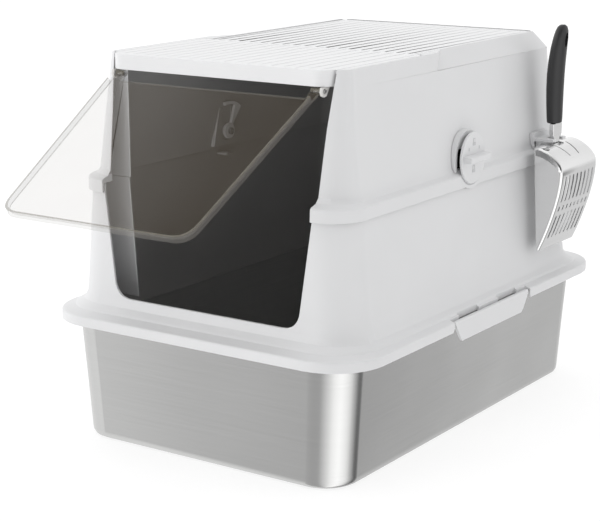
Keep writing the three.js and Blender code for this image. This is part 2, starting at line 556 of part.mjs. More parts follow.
// The grip is a round-cornered bar that swells towards its free end.
const gripSection = (z, x, half, thick) => ({ z, x, half, thick });
const gripSections = [
  gripSection(NECK.top + GAP, 198.5, 12, 8.5),
  gripSection(365, 198, 13.5, 9.3),
  gripSection(400, 198, 14.5, 9.8),
  gripSection(430, 200.5, 14, 9.2),
  gripSection(450, 203.5, 12.5, 8),
  gripSection(460, 205, 9, 6.5),
  gripSection(464.5, 205.5, 4, 4),
];
function gripBody() {
  const points = [];
  gripSections.forEach(({ z, x, half, thick }) => {
    for (let i = 0; i < 16; i += 1) {
      const angle = (2 * Math.PI * i) / 16;
      points.push([x + thick * Math.cos(angle), GRIP_Y + half * Math.sin(angle), z]);
    }
  });
  const triangles = [];
  for (let s = 0; s + 1 < gripSections.length; s += 1) {
    for (let i = 0; i < 16; i += 1) {
      const j = (i + 1) % 16;
      const [a, b, c, d] = [16 * s + i, 16 * s + j, 16 * (s + 1) + j, 16 * (s + 1) + i];
      triangles.push(points[a], points[b], points[c], points[a], points[c], points[d]);
    }
  }
  const top = 16 * (gripSections.length - 1);
  for (let i = 1; i < 15; i += 1) {
    triangles.push(points[0], points[i + 1], points[i]);
    triangles.push(points[top], points[top + i], points[top + i + 1]);
  }
  const geometry = new THREE.BufferGeometry();
  geometry.setAttribute('position', new THREE.Float32BufferAttribute(triangles.flat(), 3));
  return solid(geometry);
}
const hangingHole = new THREE.Shape();
hangingHole.absellipse(GRIP_Y + 1, 446, 4.2, 9, 0, 2 * Math.PI);
const tang = box(
  NECK.x0 - GAP, NECK.x1 + GAP, GRIP_Y - 6 - GAP, GRIP_Y + 6 + GAP, NECK.top - 1, 400 + GAP);
add('scoop_handle', gripBody().subtract(tang).subtract(alongX(hangingHole, 180, 230, 6)), softGrip);

export default group;
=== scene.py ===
"""A hooded cat litter box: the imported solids, dressed with finished pieces and materials."""
import json
import math

import bmesh
import bpy
from mathutils import Matrix, Vector

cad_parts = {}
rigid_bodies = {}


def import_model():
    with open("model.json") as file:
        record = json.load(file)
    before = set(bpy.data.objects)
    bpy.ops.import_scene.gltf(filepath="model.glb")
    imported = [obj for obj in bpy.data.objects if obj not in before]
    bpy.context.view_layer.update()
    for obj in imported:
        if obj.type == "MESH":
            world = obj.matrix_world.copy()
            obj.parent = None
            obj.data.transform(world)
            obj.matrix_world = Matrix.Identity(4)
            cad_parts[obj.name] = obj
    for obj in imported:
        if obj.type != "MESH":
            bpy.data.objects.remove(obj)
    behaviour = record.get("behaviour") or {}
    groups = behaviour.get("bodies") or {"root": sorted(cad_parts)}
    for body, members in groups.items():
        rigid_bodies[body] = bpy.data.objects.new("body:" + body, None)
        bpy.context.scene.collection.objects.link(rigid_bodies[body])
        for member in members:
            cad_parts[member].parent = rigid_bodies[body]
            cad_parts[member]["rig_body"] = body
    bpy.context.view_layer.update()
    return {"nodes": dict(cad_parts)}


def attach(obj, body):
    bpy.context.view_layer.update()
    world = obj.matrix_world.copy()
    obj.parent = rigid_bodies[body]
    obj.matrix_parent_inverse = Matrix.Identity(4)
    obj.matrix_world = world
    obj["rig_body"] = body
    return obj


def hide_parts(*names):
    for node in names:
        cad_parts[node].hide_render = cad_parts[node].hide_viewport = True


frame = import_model()
NODES = frame["nodes"]
MM = 0.001

# Sizes shared by several pieces, in millimetres.
SCOOP_Y = (136.0, 236.0)
SCOOP_CORNER = 10.5
GRIP_Y = 186.0
KNOB = {"y": -1.0, "z": 326.0, "half_width": 28.0, "half_height": 30.2, "back": 184.6, "face": 188.0}
KNOB_SHAFT = {"radius": 7.0, "end": 167.2, "overlap": 0.5}
FINGER_BAR = {"half_length": 24.5, "half_thickness": 3.3, "rise": 10.5, "sunk": 1.5, "foot_spread": 1.35}
WINDOW = {"floor": 170.0, "lip": 176.5}
FLAP_OPEN = math.radians(59.0)
FLAP_OUTWARD = Vector((0.0, -math.cos(FLAP_OPEN), math.sin(FLAP_OPEN)))
FLAP_RIM_AREA = 0.002  # square metres; a face of the flap smaller than this belongs to its rim
CAMERA = {
    "azimuth": 34.394, "elevation": 13.669, "roll": -0.142, "lens": 100.962,
    "distance": 2.0785, "left": 0.04673, "down": 0.02117, "aim_height": 0.2,
}


# ---------- node tools ----------
def add_node(tree, kind, values=(), **settings):
    node = tree.nodes.new(kind)
    for key, value in settings.items():
        setattr(node, key, value)
    for socket, value in dict(values).items():
        node.inputs[socket].default_value = value
    return node


def link(tree, source, target):
    tree.links.new(source, target)


def new_group(name, inputs, outputs):
    tree = bpy.data.node_groups.new(name, "ShaderNodeTree")
    for label, value in inputs:
        socket = tree.interface.new_socket(label, in_out="INPUT", socket_type="NodeSocketFloat")
        socket.default_value = value
    for label in outputs:
        tree.interface.new_socket(label, in_out="OUTPUT", socket_type="NodeSocketFloat")
    return tree, tree.nodes.new("NodeGroupInput"), tree.nodes.new("NodeGroupOutput")


def moulded_grain_group():
    """Fine moulding grain with faint uneven patches."""
    tree, given, made = new_group(
        "moulded_grain", [("Grain Scale", 900.0), ("Patch Scale", 7.0)], ["Height", "Patches"])
    place = add_node(tree, "ShaderNodeTexCoord")
    grain = add_node(tree, "ShaderNodeTexNoise", {"Detail": 2.0, "Roughness": 0.55})
    patches = add_node(tree, "ShaderNodeTexNoise", {"Detail": 3.0, "Roughness": 0.5})
    for noise, scale in ((grain, "Grain Scale"), (patches, "Patch Scale")):
        link(tree, place.outputs["Object"], noise.inputs["Vector"])
        link(tree, given.outputs[scale], noise.inputs["Scale"])
    link(tree, grain.outputs["Fac"], made.inputs["Height"])
    link(tree, patches.outputs["Fac"], made.inputs["Patches"])
    return tree


def brushed_group():
    """Fine level brush lines, as a height and as a mask."""
    tree, given, made = new_group(
        "brush_lines", [("Line Scale", 1500.0), ("Along", 9.0)], ["Height", "Mask"])
    place = add_node(tree, "ShaderNodeTexCoord")
    stretch = add_node(tree, "ShaderNodeCombineXYZ")
    link(tree, given.outputs["Along"], stretch.inputs["X"])
    link(tree, given.outputs["Along"], stretch.inputs["Y"])
    link(tree, given.outputs["Line Scale"], stretch.inputs["Z"])
    scaled = add_node(tree, "ShaderNodeVectorMath", operation="MULTIPLY")
    link(tree, place.outputs["Object"], scaled.inputs[0])
    link(tree, stretch.outputs["Vector"], scaled.inputs[1])
    lines = add_node(tree, "ShaderNodeTexNoise", {"Scale": 1.0, "Detail": 3.0, "Roughness": 0.65})
    link(tree, scaled.outputs["Vector"], lines.inputs["Vector"])
    soft = add_node(tree, "ShaderNodeTexNoise", {"Scale": 5.0, "Detail": 2.0})
    link(tree, place.outputs["Object"], soft.inputs["Vector"])
    link(tree, lines.outputs["Fac"], made.inputs["Height"])
    link(tree, soft.outputs["Fac"], made.inputs["Mask"])
    return tree


GRAIN = moulded_grain_group()
BRUSH = brushed_group()


def start_material(name, **shader):
    material = bpy.data.materials.new(name)
    material.use_nodes = True
    tree = material.node_tree
    bsdf = tree.nodes["Principled BSDF"]
    for socket, value in shader.items():
        bsdf.inputs[socket.replace("_", " ")].default_value = value
    return material, tree, bsdf


def blend_colours(tree, factor, dark, light):
    mix = add_node(tree, "ShaderNodeMix", data_type="RGBA")
    mix.inputs[6].default_value = (*dark, 1.0)
    mix.inputs[7].default_value = (*light, 1.0)
    link(tree, factor, mix.inputs[0])
    return mix.outputs[2]


def spread(tree, source, low, high):
    """Maps a noise's middle range onto low to high."""
    span = add_node(
        tree, "ShaderNodeMapRange", {"From Min": 0.3, "From Max": 0.7, "To Min": low, "To Max": high})
    link(tree, source, span.inputs["Value"])
    return span.outputs["Result"]


def bump(tree, bsdf, height, strength, distance):
    node = add_node(tree, "ShaderNodeBump", {"Strength": strength, "Distance": distance})
    link(tree, height, node.inputs["Height"])
    link(tree, node.outputs["Normal"], bsdf.inputs["Normal"])


def plastic(name, dark, light, roughness, grain=900.0, strength=0.12, **shader):
    """Moulded plastic: faint patches in the colour and gloss, and a fine grain."""
    material, tree, bsdf = start_material(name, **shader)
    group = add_node(tree, "ShaderNodeGroup", node_tree=GRAIN)
    group.inputs["Grain Scale"].default_value = grain
    link(tree, blend_colours(tree, spread(tree, group.outputs["Patches"], 0.0, 1.0), dark, light),
         bsdf.inputs["Base Color"])
    link(tree, spread(tree, group.outputs["Patches"], roughness - 0.03, roughness + 0.04),
         bsdf.inputs["Roughness"])
    bump(tree, bsdf, group.outputs["Height"], strength, 0.0004)
    return material


def metal(name, dark, light, roughness, lines, strength, distance, metallic=1.0):
    """Brushed or polished steel: brush lines in the surface and a faint cloud in the gloss."""
    material, tree, bsdf = start_material(name, Metallic=metallic)
    group = add_node(tree, "ShaderNodeGroup", node_tree=BRUSH)
    group.inputs["Line Scale"].default_value = lines
    link(tree, blend_colours(tree, spread(tree, group.outputs["Height"], 0.0, 1.0), dark, light),
         bsdf.inputs["Base Color"])
    link(tree, spread(tree, group.outputs["Mask"], roughness - 0.04, roughness + 0.05),
         bsdf.inputs["Roughness"])
    bump(tree, bsdf, group.outputs["Height"], strength, distance)
    return material


SHELL = plastic("shell_white", (0.755, 0.757, 0.765), (0.785, 0.787, 0.795), 0.46)
# Painted shade: the cabin's inner faces get a darker grey that stands in for the shadow inside; the real
# inside is the same white plastic.
SHELL_PAINTED_SHADE = plastic("shell_inner_painted_shade", (0.44, 0.435, 0.43), (0.47, 0.465, 0.46), 0.6)
LID = plastic("lid_white", (0.82, 0.822, 0.83), (0.85, 0.852, 0.86), 0.42)
CLIP = plastic("clip_milky", (0.66, 0.65, 0.63), (0.72, 0.71, 0.69), 0.25)
GRIP = plastic("grip_black", (0.018, 0.018, 0.019), (0.030, 0.030, 0.031), 0.47, 700.0, 0.2)
MARK = plastic("mark_grey", (0.58, 0.58, 0.59), (0.62, 0.62, 0.63), 0.5)
# Painted shade: near-black plates put in the shallow slot beside each knob, standing in for the shadow in it.
SLOT_PAINTED_SHADE = plastic("slot_painted_shade", (0.010, 0.010, 0.010), (0.016, 0.016, 0.016), 0.8)
PAN_STEEL = metal(
    "pan_brushed_steel", (0.555, 0.555, 0.55), (0.60, 0.60, 0.595), 0.19, 2600.0, 0.12, 0.0001)
PAN_INSIDE = metal(
    "pan_satin_inside", (0.50, 0.50, 0.495), (0.55, 0.55, 0.545), 0.42, 1600.0, 0.1, 0.0001, metallic=0.7)
SCOOP_STEEL = metal(
    "scoop_polished_steel", (0.74, 0.74, 0.74), (0.76, 0.76, 0.76), 0.11, 300.0, 0.01, 0.0001)
PIN_STEEL = metal("pin_steel", (0.55, 0.55, 0.55), (0.66, 0.66, 0.66), 0.25, 1200.0, 0.1, 0.0001)
# The sheet's two faces are both seen through, so its tint acts twice.
CLEAR_SHEET = plastic(
    "clear_sheet", (0.135, 0.09, 0.035), (0.145, 0.10, 0.045), 0.08, 300.0, 0.02, Alpha=0.095)
CLEAR_LIP = plastic("clear_lip", (0.36, 0.35, 0.33), (0.40, 0.39, 0.37), 0.12, 300.0, 0.02, Alpha=0.16)
CLEAR_EDGE = plastic("clear_edge", (0.17, 0.155, 0.115), (0.21, 0.19, 0.15), 0.15, 300.0, 0.02, Alpha=0.5)


# ---------- piece tools ----------
def shade(mesh, sharp_degrees):
    mesh.polygons.foreach_set("use_smooth", [True] * len(mesh.polygons))
    mesh.set_sharp_from_angle(angle=math.radians(sharp_degrees))


def piece(name, bm, materials, body, stands_for=(), sharp_degrees=35.0, even=True):
    """Turns a finished bmesh into a piece that rides on a body."""
    mesh = bpy.data.meshes.new(name)
    bm.to_mesh(mesh)
    bm.free()
    for material in materials if isinstance(materials, (list, tuple)) else [materials]:
        mesh.materials.append(material)
    shade(mesh, sharp_degrees)
    obj = bpy.data.objects.new(name, mesh)
    bpy.context.scene.collection.objects.link(obj)
    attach(obj, body)
    if stands_for:
        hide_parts(*stands_for)
    if even:
        even_normals = obj.modifiers.new("even_normals", "WEIGHTED_NORMAL")
        even_normals.keep_sharp = True
    return obj


def evaluated(bm, *modifiers):
    """Runs modifiers over a bmesh and hands back the result as a new bmesh."""
    mesh = bpy.data.meshes.new("work")
    bm.to_mesh(mesh)
    bm.free()
    obj = bpy.data.objects.new("work", mesh)
    bpy.context.scene.collection.objects.link(obj)
    for kind, settings in modifiers:
        modifier = obj.modifiers.new(kind.lower(), kind)
        for key, value in settings.items():
            setattr(modifier, key, value)
    bpy.context.view_layer.update()
    result = bmesh.new()
    result.from_object(obj, bpy.context.evaluated_depsgraph_get())
    bpy.data.objects.remove(obj)
    bpy.data.meshes.remove(mesh)
    return result


def carved(bm, cutter, extra=()):
    """The first shape with the second one cut out of it."""
    mesh = bpy.data.meshes.new("cutter")
    cutter.to_mesh(mesh)
    cutter.free()
    tool = bpy.data.objects.new("cutter", mesh)
    bpy.context.scene.collection.objects.link(tool)
    cut = ("BOOLEAN", {"operation": "DIFFERENCE", "object": tool, "solver": "EXACT"})
    result = evaluated(bm, *extra, cut)
    bpy.data.objects.remove(tool)
    bpy.data.meshes.remove(mesh)
    return result


def tidy_solid(bm):
    """Joins loose triangles into one surface and clears the lines across its flat faces."""
    bmesh.ops.remove_doubles(bm, verts=bm.verts, dist=1e-5)
    bmesh.ops.dissolve_limit(bm, angle_limit=math.radians(0.05), verts=bm.verts, edges=bm.edges)
    bmesh.ops.recalc_face_normals(bm, faces=bm.faces)


def soften_edges(bm, width, segments=2):
    """Rounds every edge that turns by more than 32 degrees."""
    limit = math.radians(32.0)
    edges = [e for e in bm.edges if len(e.link_faces) == 2 and e.calc_face_angle(0.0) > limit
             and e.calc_length() > 0.4 * MM]
    bmesh.ops.bevel(bm, geom=edges, offset=width, offset_type="OFFSET", segments=segments, profile=0.5,
                    affect="EDGES", clamp_overlap=False, material=-1)


def softened(node, name, material, width=0.0005, segments=2, sharp_degrees=50.0, inside=None):
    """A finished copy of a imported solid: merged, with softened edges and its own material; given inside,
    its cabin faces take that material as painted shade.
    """
    bm = bmesh.new()
    bm.from_mesh(NODES[node].data)
    tidy_solid(bm)
    if width:
        soften_edges(bm, width, segments)
    materials = [material]
    # Painted shade: faces that look into the cabin take the darker inside material, standing in for the
    # shadow in there.
    if inside:
        materials.append(inside)
        for face in bm.faces:
            if faces_cabin(face):
                face.material_index = 1
    return piece(name, bm, materials, NODES[node]["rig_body"], [node], sharp_degrees)


def faces_cabin(face):
    """True for a face that looks into the cabin."""
    centre, normal = face.calc_center_median(), face.normal
    level = Vector((centre.x, centre.y, 0.0))
    within = abs(centre.x) < 0.1885 and -0.262 < centre.y < 0.2645 and 0.14 < centre.z < 0.4455
    return within and (normal.dot(level) < -0.3 * level.length or normal.z < -0.6)


def rounded_loop(bm, half_width, front, rear, radius, z, steps):
    """A level rounded rectangle as one face, all in millimetres."""
    corners = [(half_width, front), (half_width, rear), (-half_width, rear), (-half_width, front)]
    known = set(bm.faces)
    verts = [bm.verts.new(Vector((x, y, z)) * MM) for x, y in corners]
    bm.faces.new(verts)
    bmesh.ops.bevel(bm, geom=verts, offset=radius * MM, offset_type="OFFSET", segments=steps,
                    profile=0.5, affect="VERTICES", clamp_overlap=False, material=-1)
    return next(face for face in bm.faces if face not in known)


def join_sections(bm, faces):
    """Makes one closed body through a row of faces, which stay only as its two ends."""
    rings = [list(face.edges) for face in faces]
    bmesh.ops.delete(bm, geom=faces[1:-1], context="FACES_ONLY")
    for lower, upper in zip(rings, rings[1:]):
        bmesh.ops.bridge_loops(bm, edges=lower + upper)
    bmesh.ops.recalc_face_normals(bm, faces=bm.faces)


def lofted(sections, steps):
    """A closed body through level rounded rectangles, listed along its surface."""
    bm = bmesh.new()
    join_sections(bm, [rounded_loop(bm, *section, steps=steps) for section in sections])
    return bm


def as_mesh(bm):
    """Hands a bmesh over as a mesh, to be joined into another bmesh."""
    mesh = bpy.data.meshes.new("work")
    bm.to_mesh(mesh)
    bm.free()
    return mesh


def turned(bm, angle, axis, verts=None):
    """Turns a shape, or some of its points, about an axis through the origin."""
    bmesh.ops.rotate(bm, verts=verts or bm.verts, cent=(0, 0, 0), matrix=Matrix.Rotation(angle, 3, axis))


def block(bm, low, high):
    """A box between two corners, in millimetres."""
    low, high = Vector(low) * MM, Vector(high) * MM
    made = bmesh.ops.create_cube(bm, size=1.0)
    bmesh.ops.scale(bm, vec=high - low, verts=made["verts"])
    bmesh.ops.translate(bm, vec=(low + high) / 2, verts=made["verts"])
    return made["verts"]


def rounded_block(bm, low, high, radius, axis):
    """A box whose edges along one axis are rounded, in millimetres."""
    verts = block(bm, low, high)
    along = {"x": 0, "y": 1, "z": 2}[axis]
    edges = {e for v in verts for e in v.link_edges
             if abs((e.verts[0].co - e.verts[1].co)[along]) > 1e-7}
    bmesh.ops.bevel(bm, geom=list(edges), offset=radius * MM, offset_type="OFFSET", segments=4,
                    profile=0.5, affect="EDGES", clamp_overlap=False, material=-1)


# ---------- steel pan ----------
def steel_pan():
    """The pan and its lip. A section is half the width, half the length, corner radius and height."""
    outside = [
        (173.5, 272.5, 33.0, 0.0), (177.5, 276.5, 37.0, 0.5), (180.4, 279.4, 39.5, 2.2),
        (182.0, 281.0, 41.0, 5.0), (182.6, 281.3, 41.1, 9.0), (187.6, 284.0, 42.5, 78.0),
        (192.8, 286.8, 44.0, 145.5), (194.0, 288.0, 45.0, 147.3), (209.0, 299.0, 56.0, 147.8),
        (209.0, 299.0, 56.0, 148.8),
    ]
    inside = [
        (192.4, 286.4, 43.4, 149.2), (191.4, 285.4, 42.4, 145.5), (180.9, 279.7, 39.4, 8.5),
        (176.0, 275.0, 35.0, 1.4),
    ]
    bm = lofted([(w, -l, l, r, z) for w, l, r, z in outside + inside], steps=16)
    for face in bm.faces:
        centre = face.calc_center_median()
        inward = Vector((centre.x, centre.y, 0.0)).dot(face.normal) < -1e-6
        face.material_index = int(centre.z > 1.0 * MM and (inward or face.normal.z > 0.9))
    return piece("pan_shell", bm, [PAN_STEEL, PAN_INSIDE], "pan", ["steel_pan"], 40.0)


# ---------- scoop ----------
BASKET_PROFILE = [
    (197.0, 319.0), (201.5, 319.0), (207.0, 318.0), (214.0, 315.4), (221.0, 311.4), (227.5, 306.2),
    (232.2, 300.8), (234.6, 295.5), (235.0, 287.0), (234.0, 276.0), (231.5, 262.0), (228.0, 248.0),
    (223.3, 233.0), (217.8, 217.5), (211.8, 202.5), (206.0, 190.0), (203.6, 190.0),
]


def scoop_basket():
    """The scoop's bowl: its side profile carried across, rounded, opened at the mouth and slotted."""
    bm = bmesh.new()
    rail = [bm.verts.new(Vector((x, SCOOP_Y[0], z)) * MM) for x, z in BASKET_PROFILE]
    side = bm.faces.new(rail)
    far = bmesh.ops.extrude_face_region(bm, geom=[side])
    bmesh.ops.translate(bm, vec=(0.0, (SCOOP_Y[1] - SCOOP_Y[0]) * MM, 0.0),
                        verts=[v for v in far["geom"] if isinstance(v, bmesh.types.BMVert)])
    bmesh.ops.recalc_face_normals(bm, faces=bm.faces)
    mouth = min(bm.faces, key=lambda f: f.normal.x if len(f.verts) == 4 else 1.0)
    rims = [e for e in bm.edges if mouth not in e.link_faces and len(e.link_faces) == 2
            and any(len(f.verts) > 4 for f in e.link_faces)]
    bmesh.ops.bevel(bm, geom=rims, offset=SCOOP_CORNER * MM, offset_type="OFFSET", segments=6, profile=0.5,
                    affect="EDGES", clamp_overlap=True, material=-1)
    mouth = min(bm.faces, key=lambda f: f.normal.x * f.calc_area())
    bmesh.ops.delete(bm, geom=[mouth], context="FACES_ONLY")
    bmesh.ops.recalc_face_normals(bm, faces=bm.faces)
    wall = ("SOLIDIFY", {"thickness": 1.3 * MM, "offset": -1.0})
    bm = carved(bm, scoop_slots(), (wall,))
    bmesh.ops.remove_doubles(bm, verts=bm.verts, dist=1e-6)
    return piece("scoop_bowl", bm, SCOOP_STEEL, "scoop", ["scoop_basket"], 35.0, even=False)


TOP_CRESCENT = [
    (199.0, 316.2), (207.0, 315.2), (214.0, 312.4), (221.0, 308.0), (227.0, 302.6), (231.3, 296.8),
    (233.4, 291.5), (230.0, 291.8), (224.5, 298.0), (217.0, 303.4), (208.5, 307.2), (199.0, 309.0),
]


def prism(bm, outline, low_y, high_y):
    """An outline in the X-Z plane carried along Y, in millimetres."""
    face = bm.faces.new([bm.verts.new(Vector((x, low_y, z)) * MM) for x, z in outline])
    grown = bmesh.ops.extrude_face_region(bm, geom=[face])
    made = [v for v in grown["geom"] if isinstance(v, bmesh.types.BMVert)]
    bmesh.ops.translate(bm, vec=(0.0, (high_y - low_y) * MM, 0.0), verts=made)


def scoop_slots():
    """Two rows of long slots with short ones between, corner openings, and two slots beside the neck."""
    cutter = bmesh.new()
    rows = ((285.0, 252.0), (247.0, 240.0), (235.0, 205.0))
    for column in range(8):
        y = SCOOP_Y[0] + 12.0 + column * 76.0 / 7.0
        for high, low in rows:
            rounded_block(cutter, (200.0, y - 2.0, low), (250.0, y + 2.0, high), 1.9, "x")
    for low_y, high_y in ((SCOOP_Y[0] - 2.0, SCOOP_Y[0] + 9.5), (SCOOP_Y[1] - 9.5, SCOOP_Y[1] + 2.0)):
        prism(cutter, TOP_CRESCENT, low_y, high_y)
    for side in (-1.0, 1.0):
        slot = bmesh.new()
        rounded_block(slot, (-11.5, -1.1, 292.0), (11.5, 1.1, 330.0), 1.0, "z")
        turned(slot, math.radians(-14.0 * side), "Z")
        bmesh.ops.translate(slot, vec=Vector((216.5, GRIP_Y + side * 14.5, 0.0)) * MM, verts=slot.verts)
        cutter.from_mesh(as_mesh(slot))
    bmesh.ops.recalc_face_normals(cutter, faces=cutter.faces)
    return cutter


def ellipse_loop(bm, x, half_x, half_y, z):
    """A level oval face, in millimetres, in the middle of the grip."""
    made = bmesh.ops.create_circle(bm, cap_ends=True, segments=28, radius=1.0)
    bmesh.ops.scale(bm, vec=Vector((half_x, half_y, 1.0)) * MM, verts=made["verts"])
    for vert in made["verts"]:
        vert.co.z = 0.0
    bmesh.ops.translate(bm, vec=Vector((x, GRIP_Y, z)) * MM, verts=made["verts"])
    return made["verts"][0].link_faces[0]


def scoop_handle():
    """The soft grip, through level ovals, with its hanging hole."""
    sections = [
        (198.3, 7.6, 10.6, 343.3), (198.5, 8.6, 12.0, 344.2), (198.4, 9.0, 12.7, 350.0),
        (198.0, 9.4, 13.6, 365.0), (197.8, 9.8, 14.3, 385.0), (198.2, 9.9, 14.6, 403.0),
        (199.4, 9.6, 14.5, 420.0), (201.3, 9.0, 14.0, 436.0), (203.2, 8.3, 12.8, 448.0),
        (204.5, 7.3, 10.8, 456.5), (205.2, 5.6, 7.8, 461.8), (205.5, 3.0, 4.0, 464.3),
    ]
    bm = bmesh.new()
    join_sections(bm, [ellipse_loop(bm, *section) for section in sections])
    hole = bmesh.new()
    made = bmesh.ops.create_cone(hole, cap_ends=True, segments=24, radius1=1.0, radius2=1.0, depth=1.0)
    bmesh.ops.scale(hole, vec=Vector((9.0, 4.6, 60.0)) * MM, verts=made["verts"])
    turned(hole, math.radians(90.0), "Y")
    bmesh.ops.translate(hole, vec=Vector((203.0, GRIP_Y + 1.0, 446.0)) * MM, verts=hole.verts)
    bm = carved(bm, hole)
    rims = [e for e in bm.edges if len(e.link_faces) == 2 and e.calc_face_angle(0.0) > math.radians(40.0)]
    bmesh.ops.bevel(bm, geom=rims, offset=0.8 * MM, offset_type="OFFSET", segments=3, profile=0.5,
                    affect="EDGES", clamp_overlap=True, material=-1)
    return piece("scoop_grip", bm, GRIP, "scoop", ["scoop_handle"], 60.0)


def dress_cad(nodes, material):
    for name in nodes:
        for slot in NODES[name].material_slots:
            slot.material = material


# ---------- knobs ----------
def turn_knob(side, hand):
    """An oval dial on a round shaft, with a softened finger bar across it."""
    bm = bmesh.new()
    made = bmesh.ops.create_cone(bm, cap_ends=True, segments=72, radius1=1.0, radius2=1.0, depth=1.0)
    turned(bm, math.radians(90.0), "Y", made["verts"])
    bmesh.ops.scale(bm, verts=made["verts"],
                    vec=Vector((KNOB["face"] - KNOB["back"], KNOB["half_width"], KNOB["half_height"])) * MM)
    bmesh.ops.translate(bm, verts=made["verts"],
                        vec=Vector(((KNOB["face"] + KNOB["back"]) / 2, KNOB["y"], KNOB["z"])) * MM)
    soften_edges(bm, 0.0010, 3)
    shaft_top = KNOB["back"] + KNOB_SHAFT["overlap"]
    shaft = bmesh.ops.create_cone(
        bm, cap_ends=True, segments=40, radius1=KNOB_SHAFT["radius"] * MM, radius2=KNOB_SHAFT["radius"] * MM,
        depth=(shaft_top - KNOB_SHAFT["end"]) * MM)
    turned(bm, math.radians(90.0), "Y", shaft["verts"])
    bmesh.ops.translate(bm, verts=shaft["verts"],
                        vec=Vector(((shaft_top + KNOB_SHAFT["end"]) / 2, KNOB["y"], KNOB["z"])) * MM)
    bar = bmesh.new()
    length, thickness = FINGER_BAR["half_length"], FINGER_BAR["half_thickness"]
    block(bar, (KNOB["face"] - FINGER_BAR["sunk"], KNOB["y"] - length, KNOB["z"] - thickness),
          (KNOB["face"] + FINGER_BAR["rise"], KNOB["y"] + length, KNOB["z"] + thickness))
    foot = min(bar.faces, key=lambda f: f.calc_center_median().x)
    bmesh.ops.scale(bar, verts=foot.verts, vec=(1.0, 1.0, FINGER_BAR["foot_spread"]),
                    space=Matrix.Translation(-foot.calc_center_median()))
    soften_edges(bar, 0.0016, 4)
    bm.from_mesh(as_mesh(bar))
    if side < 0:
        bmesh.ops.scale(bm, vec=(-1.0, 1.0, 1.0), verts=bm.verts)
    bmesh.ops.recalc_face_normals(bm, faces=bm.faces)
    return piece(f"turn_knob_{hand}", bm, SHELL, f"knob_{hand}", [f"knob_{hand}"], 40.0)


def window_painted_shade(side, hand):
    """Painted shade in the slot beside each knob: a near-black plate on its floor, and a strip on either
    side, where only shadow falls.
    """
    bm = bmesh.new()
    block(bm, (WINDOW["floor"] + 0.05, KNOB["y"] - 18.9, KNOB["z"] - 12.9),
          (WINDOW["floor"] + 1.0, KNOB["y"] - 9.1, KNOB["z"] + 10.9))
    for dy in (-18.9, -9.1):
        block(bm, (WINDOW["floor"] + 1.2, KNOB["y"] + dy - 0.1 * (dy < -10), KNOB["z"] - 12.9),
              (WINDOW["lip"], KNOB["y"] + dy + 0.1 * (dy > -10), KNOB["z"] + 10.9))
    if side < 0:
        bmesh.ops.scale(bm, vec=(-1.0, 1.0, 1.0), verts=bm.verts)
    bmesh.ops.recalc_face_normals(bm, faces=bm.faces)
    return piece(f"window_shade_plate_{hand}", bm, SLOT_PAINTED_SHADE, "upper_hood", even=False)


def knob_marks(side, name):
    """Two small padlock marks and two short dashes on a knob's face."""
    bm = bmesh.new()
    face_x = KNOB["face"]
    low, high = face_x - 0.2, face_x + 0.35
    for dz, open_shackle in ((17.5, True), (-14.0, False)):
        z = KNOB["z"] + dz
        rounded_block(bm, (low, KNOB["y"] - 3.2, z - 3.0), (high, KNOB["y"] + 3.2, z + 1.0), 0.6, "x")
        offset = 1.6 if open_shackle else 0.0
        for arm in (-2.0, 2.0):
            reach = 4.0 if arm < 0 else 4.0 - offset
            rounded_block(bm, (low, KNOB["y"] + arm - 0.45, z + 1.0 + offset * (arm > 0)),
                          (high, KNOB["y"] + arm + 0.45, z + 1.0 + reach), 0.2, "x")
        rounded_block(bm, (low, KNOB["y"] - 2.45, z + 4.6), (high, KNOB["y"] + 2.45, z + 5.5), 0.3, "x")
    for dy in (-12.0, 12.0):
        rounded_block(bm, (low, KNOB["y"] + dy - 0.7, KNOB["z"] + 9.0),
                      (high, KNOB["y"] + dy + 0.7, KNOB["z"] + 13.0), 0.5, "x")
    if side < 0:
        bmesh.ops.scale(bm, vec=(-1.0, 1.0, 1.0), verts=bm.verts)
    bmesh.ops.recalc_face_normals(bm, faces=bm.faces)
    return piece(name, bm, MARK, name.replace("knob_marks", "knob"), sharp_degrees=40.0)


# ---------- flap ----------
def clear_flap():
    """The flap: a clear sheet, with tinted walls on its lip and darker narrow edges."""
    flap = softened("flap_door", "clear_flap", CLEAR_SHEET, 0.0003, 1)
    flap.data.materials.append(CLEAR_LIP)
    flap.data.materials.append(CLEAR_EDGE)
    for polygon in flap.data.polygons:
        facing = abs(polygon.normal.dot(FLAP_OUTWARD))
        if facing < 0.2:
            polygon.material_index = 1
        elif facing < 0.95 or polygon.area < FLAP_RIM_AREA:
            polygon.material_index = 2


# ---------- build ----------
steel_pan()
softened("lower_shell", "lower_hood_shell", SHELL, 0.0007, 2, 50.0, SHELL_PAINTED_SHADE)
softened("upper_shell", "upper_hood_shell", SHELL, 0.0006, 2, 50.0, SHELL_PAINTED_SHADE)
softened("lid", "ribbed_lid", LID, 0.0004, 2, 50.0)
for hand, side in (("right", 1.0), ("left", -1.0)):
    softened(f"latch_{hand}", f"side_latch_{hand}", SHELL, 0.0005)
    softened(f"knob_plate_{hand}", f"knob_arch_{hand}", SHELL, 0.0004)
    turn_knob(side, hand)
    window_painted_shade(side, hand)
    softened(f"knob_cam_{hand}", f"inner_cam_{hand}", SHELL, 0.0004)
    softened(f"flap_hook_{hand}", f"flap_clip_{hand}", CLIP, 0.0004)
    knob_marks(side, f"knob_marks_{hand}")
softened("scoop_holder", "scoop_fork", SHELL, 0.0006)
softened("scoop_neck", "scoop_stem", SCOOP_STEEL, 0.0008, 3)
scoop_basket()
scoop_handle()
PINS = [n for n in NODES if "pin" in n or "screw" in n or "rivet" in n]
dress_cad(PINS, PIN_STEEL)
clear_flap()


